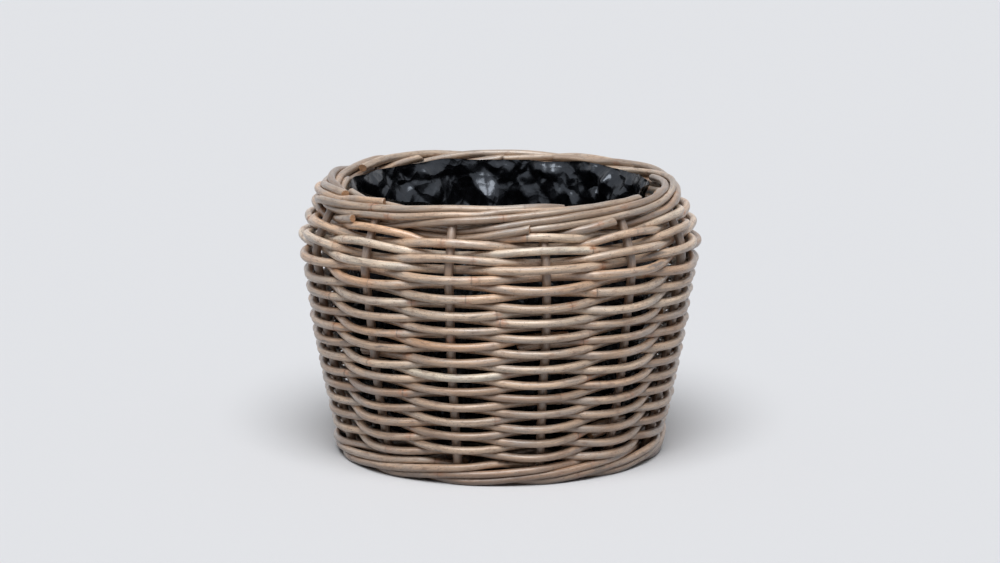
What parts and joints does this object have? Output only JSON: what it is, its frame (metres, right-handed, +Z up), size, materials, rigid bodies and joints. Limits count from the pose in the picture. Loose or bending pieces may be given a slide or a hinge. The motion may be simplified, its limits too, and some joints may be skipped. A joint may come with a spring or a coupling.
{
  "type": "planter basket",
  "caption": "Round woven cane planter basket with a flared wall, a drawn-in shoulder, a rope border, a waled foot, a woven base and a black film liner.",
  "frame": {"origin": "on the floor under the middle of the basket", "axes": "+Z up through the mouth; the basket is round, so +X and +Y only fix the turn of the weave"},
  "size_m": [0.4509, 0.447, 0.3045],
  "materials": {
    "wall_cane": "weathered, satin",
    "upright_cane": "weathered, satin",
    "border_cane": "weathered, satin",
    "foot_cane": "weathered, matte",
    "base_cane": "matte",
    "liner_film": "glossy film"
  },
  "bodies": {
    "root": {"upright_01": "upright_cane", "upright_02": "upright_cane", "upright_03": "upright_cane", "upright_04": "upright_cane", "upright_05": "upright_cane", "upright_06": "upright_cane", "upright_07": "upright_cane", "upright_08": "upright_cane", "upright_09": "upright_cane", "upright_10": "upright_cane", "upright_11": "upright_cane", "upright_12": "upright_cane", "upright_13": "upright_cane", "weaver_01": "wall_cane", "weaver_02": "wall_cane", "weaver_03": "wall_cane", "weaver_04": "wall_cane", "weaver_05": "wall_cane", "weaver_06": "wall_cane", "weaver_07": "wall_cane", "weaver_08": "wall_cane", "weaver_09": "wall_cane", "weaver_10": "wall_cane", "weaver_11": "wall_cane", "weaver_12": "wall_cane", "weaver_13": "wall_cane", "foot_rod_01": "foot_cane", "foot_rod_02": "foot_cane", "foot_rod_03": "foot_cane", "foot_rod_04": "foot_cane", "border_rod_01": "border_cane", "border_rod_02": "border_cane", "border_rod_03": "border_cane", "border_rod_04": "border_cane", "border_rod_05": "border_cane", "border_rod_06": "border_cane", "border_rod_07": "border_cane", "border_rod_08": "border_cane", "border_rod_09": "border_cane", "border_rod_10": "border_cane", "border_rod_11": "border_cane", "border_rod_12": "border_cane", "border_rod_13": "border_cane", "base_stick_01": "base_cane", "base_stick_02": "base_cane", "base_stick_03": "base_cane", "base_stick_04": "base_cane", "base_stick_05": "base_cane", "base_stick_06": "base_cane", "base_stick_07": "base_cane", "base_weaver_01": "base_cane", "base_weaver_02": "base_cane", "liner": "liner_film"}
  },
  "joints": []
}
